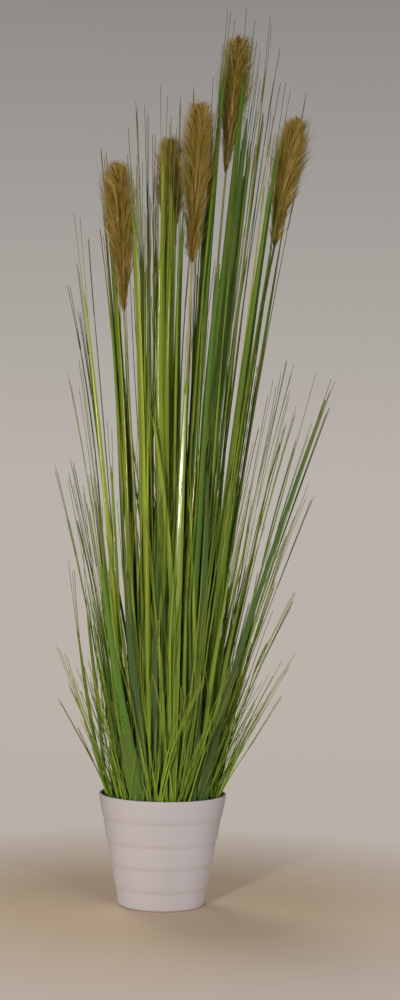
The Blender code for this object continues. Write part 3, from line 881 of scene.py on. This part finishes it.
def gathered(line, middle, much):
    # The line of a blade that draws towards its tuft's middle half-way up, and ends where the solid does
    def path(z):
        pull = much * np.sin(math.pi * shareUp(z, line["low"], line["high"]) ** 1.2)[:, None]
        return pointsOn(line, z) * (1 - pull) + pointsOn(middle, z) * pull
    return path


def lineThrough(spots, lean, facts):
    # The line of a blade that the camera sees go through some spots, with its foot at the front of the bed
    aside, _, _ = atSpot(*spots[0], 0, cameraFacts)
    foot = -math.sqrt(max(0, facts["rootRoom"] ** 2 - aside ** 2))
    last = len(spots) - 1
    return fitted([atSpot(*spot, foot - lean * i / last, cameraFacts) for i, spot in enumerate(spots)])


def between(one, other, low, high, first, last):
    # A path that goes from share first to share last of the way between two blades' lines
    def path(z):
        share = (first + (last - first) * (z - low) / (high - low))[:, None]
        return one["path"](z) * (1 - share) + other["path"](z) * share
    return path


def shifted(path, low, high, shift):
    # The same path with its foot moved aside, and less so further up
    def moved(z):
        return path(z) + (1 - shareUp(z, low, high))[:, None] * shift
    return moved


def straightened(path, low, high, much):
    # The same path, part of the way to the straight line between its ends
    foot, tip = path(np.array([low, high]))

    def straight(z):
        share = ((z - low) / (high - low))[:, None]
        return path(z) * (1 - much) + (foot + (tip - foot) * share) * much
    return straight


def swaying(path, low, high, reach, chance):
    # The same path with a slow waver that leaves its two ends in place
    phase, rate = chance.uniform(0, math.tau), chance.uniform(0.5, 1.3)
    way = sideStep(chance, reach)

    def swayed(z):
        share = shareUp(z, low, high)
        swing = np.sin(math.pi * share) * np.sin(math.tau * rate * share + phase)
        return path(z) + swing[:, None] * way
    return swayed


def roundStrip(path, turn, halves):
    # A strip as thick as it is wide, from the first half width to the last
    first, last = halves
    return {"path": path, "turn": lambda share: turn + 0 * share,
            "half": lambda share: first + (last - first) * share, "thick": 0, "fold": 0}


def bladeAndThreads(path, low, high, width, turn, outline, wander, twist, fold, form, chance, facts):
    # A strip from its root to its shoulder, then threads that go on to the blade's full height
    marks, sizes = zip(*facts["outlines"][outline])
    start = low - facts["rootDepth"]
    path = swaying(path, start, high, wander, chance)
    shoulder = chance.uniform(*form["shoulder"])
    top = low + (high - low) * facts["shoulders"].get(outline, shoulder)
    twist = math.radians(twist) * chance.uniform(-1, 1)
    blade = {
        "path": lambda share: path(start + (top - start) * share),
        "turn": lambda share: turn + twist * share,
        "half": lambda share: np.interp(share, marks, sizes) * width / 2,
        "thick": facts["thickness"],
        "fold": chance.uniform(*fold),
        "wide": width >= facts["broadFrom"],
    }
    # The threads go on from the blade's two edges, and a third from its middle
    count = chance.randint(*form["threads"])
    foot = top - facts["threadStart"] * (high - low)
    across = np.array((math.cos(turn + twist), math.sin(turn + twist), 0))
    half = float(np.interp(0.95, marks, sizes)) * width / 2
    flare = chance.uniform(*form["flare"])
    threads = []
    for i, place in enumerate(facts["threadPlaces"][count - 1]):
        end = high if i == 0 else foot + (high - foot) * chance.uniform(*facts["threadEnds"])
        shift = across * place * half
        spread = shift * flare * (0.35 if i == 0 else 1) + sideStep(chance, facts["threadLoose"] if i else 0)
        threads.append(roundStrip(threadPath(path, foot, end, spread, shift), turn, facts["threadHalf"]))
    return blade, threads, (top - start) / (high - start)


def threadPath(path, foot, end, spread, shift):
    # Goes on from a blade's path at one side of it, and further out as it rises
    def way(share):
        return path(foot + (end - foot) * share) + shift + np.clip(share, 0, 1)[:, None] * spread
    return way


def tuftStrips(node, lines, others, form, chance, facts):
    # Every CAD blade, fillers between neighbours, crossers from one side of the tuft to the other, and strays
    # that lean over to another tuft. Gives the strips, each with its tone
    _, kind, number = node.split("_")
    tuft = kind + "_" + number
    leading = facts["tones"][kind][int(number) - 1]
    broad = {rank: (width * mm, tone) for rank, width, tone in facts["broad"].get(tuft, ())}
    slender = facts["slender"].get(tuft, 1)
    fillers = form["fillers"] if slender == 1 else facts["slenderFillers"]
    strips, tones = [], []

    def add(path, low, high, width, turn, outline=kind, tone=None, wander=form["wander"], twist=form["twist"],
            fold=facts["fold"]):
        own = min(facts["palest"], max(0, chance.gauss(leading, facts["toneSpread"])))
        strips.append(bladeAndThreads(path, low, high, width, turn, outline, wander, twist, fold, form, chance,
                                      facts))
        tones.append(own if tone is None else tone)

    def heightWith(one, other, heights):
        return one["low"] + (min(one["high"], other["high"]) - one["low"]) * chance.uniform(*heights)

    def addFree(one, other, high, first, last, turn):
        # A blade of its own between two others, whose foot may stand further out than the tuft's
        low = one["low"]
        path = between(one, other, low, high, first, last)
        foot = path(np.array([low]))[0] * (1, 1, 0)
        radius = np.linalg.norm(foot)
        outward = foot / radius
        sideways = np.array((-outward[1], outward[0], 0)) * chance.uniform(-1, 1) * form["rootSide"]
        shift = outward * min(facts["rootRoom"] - radius, chance.uniform(*form["rootShift"])) + sideways
        path = straightened(shifted(path, low, high, shift), low, high, form["straight"])
        add(path, low, high, chance.uniform(*form["fillerWidth"]), turn, wander=form["fillerWander"])

    for rank, line in enumerate(lines):
        low, high = line["low"], line["high"]
        least, most = form["width"]
        usualWidth = (least + (most - least) * chance.random() ** form["skew"]) * slender
        path = straightened(line["path"], low, high, form["straight"])
        if rank in broad:
            width, tone = broad[rank]
            turn = facts["frontTurn"] + chance.uniform(*facts["broadTurn"])
            add(path, low, high, width, turn, tone=tone, twist=facts["broadTwist"])
        else:
            add(path, low, high, usualWidth, line["across"])
    for outline, width, tone, lean, *spots in facts["fronts"].get(tuft, ()):
        line = lineThrough(spots, lean * mm, facts)
        turn = facts["frontTurn"] + chance.uniform(*facts["narrowTurn"])
        add(lambda z, line=line: pointsOn(line, z), lines[0]["low"], line["high"], width * mm, turn,
            outline, tone, facts["frontWander"], facts["frontTwist"], facts["frontFold"])
    centre = centreOf(lines)
    ring = sorted(lines, key=lambda line: math.atan2(*(rootOf(line) - centre)))
    for i in range(fillers + form["crossers"]):
        gap = 1 if i < fillers else len(ring) // 2
        one, other = ring[i % len(ring)], ring[(i + gap) % len(ring)]
        first, last = [chance.uniform(*span) for span in facts["fillerSpans"]] if gap == 1 else (0.1, 1)
        high = heightWith(one, other, form["fillerHeight"])
        addFree(one, other, high, first, last, one["across"] + chance.uniform(*facts["fillerTurn"]))
    for _ in range(form["strays"]):
        one = chance.choice(lines)
        other = chance.choice([other for other in others if 0 < tipDistance(one, other) < form["strayReach"]])
        high = heightWith(one, other, form["strayHeight"])
        addFree(one, other, high, 0, chance.uniform(0.7, 1), chance.uniform(0, math.pi))
    return strips, tones


def curlStrip(lines, form, chance, facts):
    # A narrow strand that is twisted round and round
    line = chance.choice(lines)
    low = line["low"] - facts["rootDepth"]
    high = line["low"] + (line["high"] - line["low"]) * chance.uniform(*facts["curlHeight"])
    shift = sideStep(chance, facts["curlShift"]) * mm

    def path(share):
        level = low + (high - low) * share
        return pointsOn(line, level) + shift * np.clip(share, 0, 1)[:, None]
    return {
        "path": path,
        "turn": lambda share: form["curlTurns"] * math.pi * share,
        "half": lambda share: facts["curlWidth"] / 2 * (1 - 0.35 * share),
        "thick": facts["thickness"],
        "fold": 0,
    }


def tipDistance(one, other):
    high = min(one["high"], other["high"])
    apart = pointsOn(one, np.array([high])) - pointsOn(other, np.array([high]))
    return float(np.linalg.norm(apart))


def rootOf(line):
    return Vector(pointsOn(line, np.array([line["low"]]))[0]).to_2d()


def centreOf(lines):
    return sum((rootOf(line) for line in lines), Vector((0, 0))) / len(lines)


def makeTuft(node, lines, others, form, finish, models, chance, facts):
    strips, tones = tuftStrips(node, lines, others, form, chance, facts)
    kind = node.split("_")[1]
    name = "grass" + kind.capitalize() + node[-2:]
    parts = []

    def addPart(model, rows):
        # Copies of one model, each with its corners, its tone and its span on the UV map
        if rows:
            parts.append(copiesOf(models[model], name + model, *zip(*rows)))

    def laid(model, strip):
        return laidAlong(cornersOf(models[model]), strip)

    for model, isWide in (("wide", True), ("narrow", False)):
        addPart(model, [(laid(model, strip), tone, (0, share))
                        for (strip, _, share), tone in zip(strips, tones) if strip["wide"] == isWide])
    addPart("threads", [(laid("threads", thread), tone, (share, 1 - share))
                        for (_, threads, share), tone in zip(strips, tones) for thread in threads])
    if chance.random() < form["curls"]:
        strip = curlStrip(lines, form, chance, facts)
        addPart("curl", [(laid("curl", strip), chance.uniform(0.4, 0.8), (0, 0.7))])
    centre = centreOf(lines)
    share, height = facts["sleeve"]
    radius = share * form["footRadius"]
    place = (centre.x, centre.y, lines[0]["low"] - height / 2)
    addPart("sleeve", [(cornersOf(models["sleeve"]) * (radius, radius, height) + place, 0.3, (0, 0.05))])
    joinPieces(*parts)
    parts[0].name = name
    finishPiece(parts[0], [node], finish)


def makeTufts(facts):
    chance = random.Random(facts["seed"])
    models = {
        "wide": modelBlade(4, facts["segments"]),
        "narrow": modelBlade(2, facts["narrowSegments"]),
        "curl": modelBlade(1, facts["curlSegments"]),
        "threads": modelThread(3, 7, 0.2),
        "sleeve": modelSleeve(),
    }
    for i, kind in enumerate(("tall", "middle", "short")):
        form = {key: values[i] for key, values in kindFacts.items()}
        finish = bladeMaterial(kind, form, facts)
        names = sorted(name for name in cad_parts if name.startswith(f"grass_{kind}_"))
        tufts = {name: sorted(bladeLines(name), key=lambda line: -line["high"]) for name in names}
        for lines in tufts.values():
            middle = {key: sum(line[key] for line in lines) / len(lines) for key in ("x", "y")}
            for line in lines:
                line["path"] = gathered(line, middle, form["gather"])
        others = [line for lines in tufts.values() for line in lines]
        for node, lines in tufts.items():
            makeTuft(node, lines, others, form, finish, models, chance, facts)
        print(kind, "grass made")
    removePieces(*models.values())


# Plumes: soft brushes of fine hair around a stem

plumeFacts = {
    "count": 5,
    "form": ((0, 0.12), (0.10, 0.24), (0.22, 0.38), (0.36, 0.60), (0.50, 0.82), (0.64, 0.97), (0.76, 1.0),
             (0.88, 0.95), (0.95, 0.82), (1, 0.56)),
    "leastSize": (0.30, 0.40, 0.52, 0.15, 0.44),  # of each plume near its foot
    "lowest": 0.04,  # share of the height where hair begins
    "lowerShare": 0.85,  # below 1 more of the hairs stand high up
    "thinned": 0.15,  # chance of a lock where the plume is slim, over its size there
    "locks": 2100,
    "hairsPerLock": 5,
    # Degrees between a hair and the stem: least, and most at the foot and the top
    "splay": (14, 24, 50),
    "lockSpread": 1.6 * mm,
    "rootSpread": 5 * mm,
    "hairHalf": 0.25 * mm,
    "hairTaper": 0.55,
    "fluff": (0.30, 1.18),  # how far from the stem hairs end, as shares of the solid's own reach
    "outerShare": 0.62,  # below 1 more of the hairs end far out
    "flare": 1.55,  # above 1 a hair leaves the stem along it and turns out near its tip
    "wisps": 0.42,  # share of the locks that stand out further than the rest
    "wispReach": (1.1, 1.6),
    "wispSpread": 0.4,  # of the hairs in such a lock, as a share of the usual spread
    "crown": (-9 * mm, 6 * mm),  # where the topmost hairs end, from the solid's top
    "rootOut": 0.6,  # mm from the stem's middle
    "lockTone": (0.12, 0.82),
    "hairTone": (-0.22, 0.22),  # of a hair from its lock's
    "strayLength": 2.2,  # how far a hair strays along the plume, from how far to its sides
    "coreShare": 0.34,
    "coreTop": 0.94,
    "coreRings": 16,
    # the core's dark tone is painted shade inside the plume
    "coreTone": 0.15,
    "seed": 33,
}
stemFacts = {
    "rootDepth": 8 * mm,
    "halfWidth": (2.2 * mm, 1.3 * mm),
    "insidePlume": 0.8,
}


def plumeAxis(number):
    corners, _ = levelsOf(f"plume_{number}")
    base = min(corner.z for corner in corners)
    ring = [corner for corner in corners if corner.z < base + 0.0003]
    low = np.array(sum(ring, Vector()) / len(ring))
    high = np.array(max(corners, key=lambda corner: corner.z))
    reach = 0
    for corner in corners:
        share = (corner.z - low[2]) / (high[2] - low[2])
        reach = max(reach, np.linalg.norm(np.array(corner) - low - (high - low) * share))
    return low, high, reach


def makeCore(low, high, reach, facts):
    # The closed body under the hair, slimmer than the plume, in a dark tone: painted shade for the plume's
    # shaded inside
    marks, sizes = zip(*facts["form"])
    length, rings = high[2] - low[2], facts["coreRings"]
    outline = [(np.interp(share, marks, sizes) * reach * facts["coreShare"], low[2] + length * share)
               for share in np.linspace(0.0, facts["coreTop"], rings)]
    core = drawnUp("core", outline, rings)
    corners = cornersOf(core)
    share = (corners[:, 2] - low[2]) / length
    corners[:, :2] += low[:2] + (high - low)[:2] * share[:, None]
    moveCorners(core, corners)
    addTone(core.data, [facts["coreTone"]] * len(corners))
    # the core takes the darkest, near-stem part of the hairs' painted shade
    for loop in core.data.uv_layers.active.data:
        loop.uv = (0.5, 0.05)
    return core


def makePlume(number, hair, facts, chance, material):
    low, high, reach = plumeAxis(number)
    core = makeCore(low, high, reach, facts)
    marks, sizes = zip(*facts["form"])
    length = high[2] - low[2]
    roots, tips, tones = [], [], []
    inner, outer = facts["fluff"]
    lowest, leastSize = facts["lowest"], facts["leastSize"][number - 1]
    while len(tips) < facts["locks"] * facts["hairsPerLock"]:
        share = lowest + (1 - lowest) * chance.random() ** facts["lowerShare"]
        size = max(np.interp(share, marks, sizes), leastSize * min(1, 0.4 + share * 6))
        if chance.random() > size + facts["thinned"]:
            continue
        far = chance.random() ** facts["outerShare"]
        radial = reach * size * (inner + (outer - inner) * far)
        spread = facts["lockSpread"]
        if chance.random() < facts["wisps"]:
            radial *= chance.uniform(*facts["wispReach"])
            spread *= facts["wispSpread"]
        angle = chance.uniform(0, math.tau)
        out = np.array((math.cos(angle), math.sin(angle), 0)) * radial
        tip = low + (high - low) * share + out
        least, foot, top = facts["splay"]
        back = radial / math.tan(math.radians(chance.uniform(least, foot + (top - foot) * share))) / length
        root = low + (high - low) * max(0.0, share - back)
        lockTone = chance.uniform(*facts["lockTone"])
        top = high[2] + chance.uniform(*facts["crown"])
        for _ in range(facts["hairsPerLock"]):
            stray = np.array([chance.gauss(0, spread) for _ in range(3)])
            end = tip + stray * (1, 1, facts["strayLength"])
            end[2] = min(end[2], top + chance.uniform(-1, 1) * mm)
            slide = chance.uniform(-1, 1) * facts["rootSpread"]
            tips.append(end)
            roots.append(root + (high - low) / length * slide + out / radial * facts["rootOut"] * mm)
            tones.append(min(1, max(0, lockTone + chance.uniform(*facts["hairTone"]))))
    corners = hairCorners(cornersOf(hair), np.array(roots), np.array(tips), facts)
    hairs = copiesOf(hair, f"plume{number}", corners, tones, [(0, 1)] * len(tips))
    joinPieces(hairs, core)
    finishPiece(hairs, [f"plume_{number}"], material)


def hairCorners(shape, roots, tips, facts):
    # Corners of every hair at once. A hair starts along the stem and turns outwards
    share = (shape[:, 1] + 1) / 2
    reach = (tips - roots)[:, None, :]
    path = roots[:, None, :] + reach * share[None, :, None] ** np.array((facts["flare"], facts["flare"], 1))
    ahead = reach[:, 0] / np.linalg.norm(reach[:, 0], axis=1)[:, None]
    across = np.cross(ahead, (0, 0, 1.0)) + (1e-6, 0, 0)
    across /= np.linalg.norm(across, axis=1)[:, None]
    other = np.cross(across, ahead)
    half = facts["hairHalf"] * (1 - facts["hairTaper"] * share)
    side = across[:, None, :] * (shape[:, 0] * half)[None, :, None]
    rise = other[:, None, :] * (shape[:, 2] * half)[None, :, None]
    return path + side + rise


def makeStem(number, rod, facts, material):
    corners, _ = levelsOf(f"plume_stem_{number}")
    levels = sorted({round(corner.z, 4) for corner in corners})
    rings = [[corner for corner in corners if abs(corner.z - level) < 0.0003] for level in levels]
    line = fitted([sum(ring, Vector()) / len(ring) for ring in rings[1:]])
    low, high, _ = plumeAxis(number)
    start = line["low"] - facts["rootDepth"]
    end = low[2] + (high[2] - low[2]) * facts["insidePlume"]

    def path(share):
        level = start + (end - start) * share
        above = (level - low[2]) / (high[2] - low[2])
        return np.where((level > low[2])[:, None], low + (high - low) * above[:, None], pointsOn(line, level))

    strip = roundStrip(path, 0, facts["halfWidth"])
    stem = copiesOf(rod, f"plumeStem{number}", [laidAlong(cornersOf(rod), strip)], [0.5], [(0, 1)])
    finishPiece(stem, [f"plume_stem_{number}"], material)


def hairMaterial():
    r = newMaterial("plumeHair", 0.8)
    tone = r.tone()
    _, along = r.uvParts()
    base = r.ramp(tone, [(0.0, (0.150, 0.076, 0.008)), (0.35, (0.290, 0.168, 0.020)),
                         (0.7, (0.460, 0.310, 0.062)), (1.0, (0.78, 0.62, 0.30))])
    # Painted shade along each hair: dark near the stem, deep inside the plume, and paler out at the tip
    depth = r.ramp(along, [(0.0, 0.42), (0.45, 0.74), (0.85, 1.0), (1.0, 1.25)])
    colour = r.mix("MULTIPLY", 1.0, base, depth)
    cloud = r.noise(r.place(), 38, 2)
    colour = r.mix("MULTIPLY", r.mapRange(cloud, 0.46, 0.66, 0, 0.6), colour, (0.72, 0.94, 0.58))
    return r.finish(colour, r.mapRange(tone, 0, 1, 0.7, 0.85))


def stemMaterial():
    r = newMaterial("stemPlastic", 0.5, 0.0003)
    streak = r.noise(r.fed(r.node("VectorMath", operation="MULTIPLY"), r.place(), (900, 900, 14)), 1, 2)
    colour = r.ramp(streak, [(0.3, (0.10, 0.13, 0.03)), (0.55, (0.22, 0.24, 0.07)), (0.8, (0.38, 0.33, 0.13))])
    return r.finish(colour, r.mapRange(streak, 0.3, 0.7, 0.4, 0.6), streak, 0.4)


def makePlumes():
    chance = random.Random(plumeFacts["seed"])
    hair = modelThread(3, 2)
    rod = modelThread(10, 22)
    hairFinish, stemFinish = hairMaterial(), stemMaterial()
    for number in range(1, plumeFacts["count"] + 1):
        makePlume(number, hair, plumeFacts, chance, hairFinish)
        makeStem(number, rod, stemFacts, stemFinish)
    removePieces(hair, rod)
    print("plumes and stems made")


makeTufts(bladeFacts)
makePlumes()


# Floor, backdrop light and studio lights

stageFacts = {
    "floorRadius": 0.64,
    "floorFade": (0.20, 0.62),
    "floorColour": (0.525, 0.41, 0.30),
    "ambient": (0.36, 0.06),  # of the backdrop's light, in all and in what glossy faces mirror
    # The backdrop's colour by height, from just below the floor's far edge to the top of the picture, with
    # painted light and shade: brightest low down, darker towards the top
    "backdrop": ((0.0, (0.468, 0.407, 0.366)), (0.30, (0.500, 0.448, 0.402)), (0.50, (0.486, 0.446, 0.408)),
                 (0.70, (0.391, 0.362, 0.337)), (1.0, (0.235, 0.23, 0.228))),
    "backdropSpan": (-0.25, 0.28),
    "mirrored": ("glint",),  # lights that glossy faces show
    "lights": (
        # name, place, height of the aim, width and height, power, colour
        ("key", (-0.80, -2.4, 0.60), 0.56, (0.26, 0.50), 38, (1.0, 0.95, 0.88)),
        ("glint", (-0.80, -2.4, 0.56), 0.56, (0.15, 0.16), 19, (1.0, 0.97, 0.93)),
        ("second", (0.95, -2.3, 0.9), 0.62, (0.12, 1.3), 12, (1.0, 0.98, 0.95)),
        ("fill", (1.7, -2.2, 1.5), 0.6, (1.4, 1.4), 19, (0.97, 0.98, 1.0)),
        ("back", (-1.2, 2.2, 1.9), 0.7, (1.4, 1.4), 42, (1.0, 0.98, 0.95)),
        ("top", (0.3, -0.4, 2.9), 0.5, (1.2, 1.2), 6, (1.0, 0.99, 0.97)),
        ("low", (-0.1, -2.0, 0.10), 0.10, (1.6, 0.16), 6, (1.0, 0.98, 0.96)),
        ("left", (-1.0, -0.25, 0.08), 0.06, (0.3, 0.14), 5, (1.0, 0.96, 0.90)),
        ("right", (1.0, -0.25, 0.08), 0.06, (0.3, 0.14), 5, (1.0, 0.96, 0.92)),
    ),
}


def makeFloor(facts):
    floor = addDisc("floor", 96, facts["floorRadius"], 0)
    r = newMaterial("paleFloor", 0.8)
    here = r.place()
    colour = r.mix("MIX", r.noise(here, 3, 3), facts["floorColour"], dimmed(facts["floorColour"]))
    length = r.node("VectorMath", operation="LENGTH")
    r.plug(here, length.inputs[0])
    r.plug(r.mapRange(length.outputs[1], *facts["floorFade"], 1, 0), r.shader.inputs["Alpha"])
    floor.data.materials.append(r.finish(colour))


def makeBackdrop(facts):
    # The backdrop that the camera sees is apart from the soft light that it gives
    world = bpy.data.worlds.new("studio")
    bpy.context.scene.world = world
    r = Recipe(world)
    back = r.tree.nodes["Background"]
    height = r.split(r.node("TexCoord").outputs["Generated"])[2]
    # Painted light and shade on the backdrop: brighter low down, darker towards the top
    r.plug(r.ramp(r.mapRange(height, *facts["backdropSpan"], 0, 1), facts["backdrop"]), back.inputs[0])
    rays = r.node("LightPath")
    strength = r.mapRange(rays.outputs["Is Glossy Ray"], 0, 1, *facts["ambient"])
    r.plug(r.mapRange(rays.outputs["Is Camera Ray"], 0, 1, strength, 1), back.inputs[1])


def makeLights(facts):
    for name, place, aim, size, power, colour in facts["lights"]:
        data = bpy.data.lights.new(name, "AREA")
        data.energy = power
        data.shape = "RECTANGLE"
        data.size, data.size_y = size
        data.color = colour
        light = newObject(name, data)
        light.location = place
        light.visible_glossy = name in facts["mirrored"]
        aimed = Vector((0, 0, aim)) - Vector(place)
        light.rotation_euler = aimed.to_track_quat("-Z", "Y").to_euler()


makeFloor(stageFacts)
makeBackdrop(stageFacts)
makeLights(stageFacts)
bpy.context.scene.view_settings.view_transform = "Standard"
print("stage and lights made")
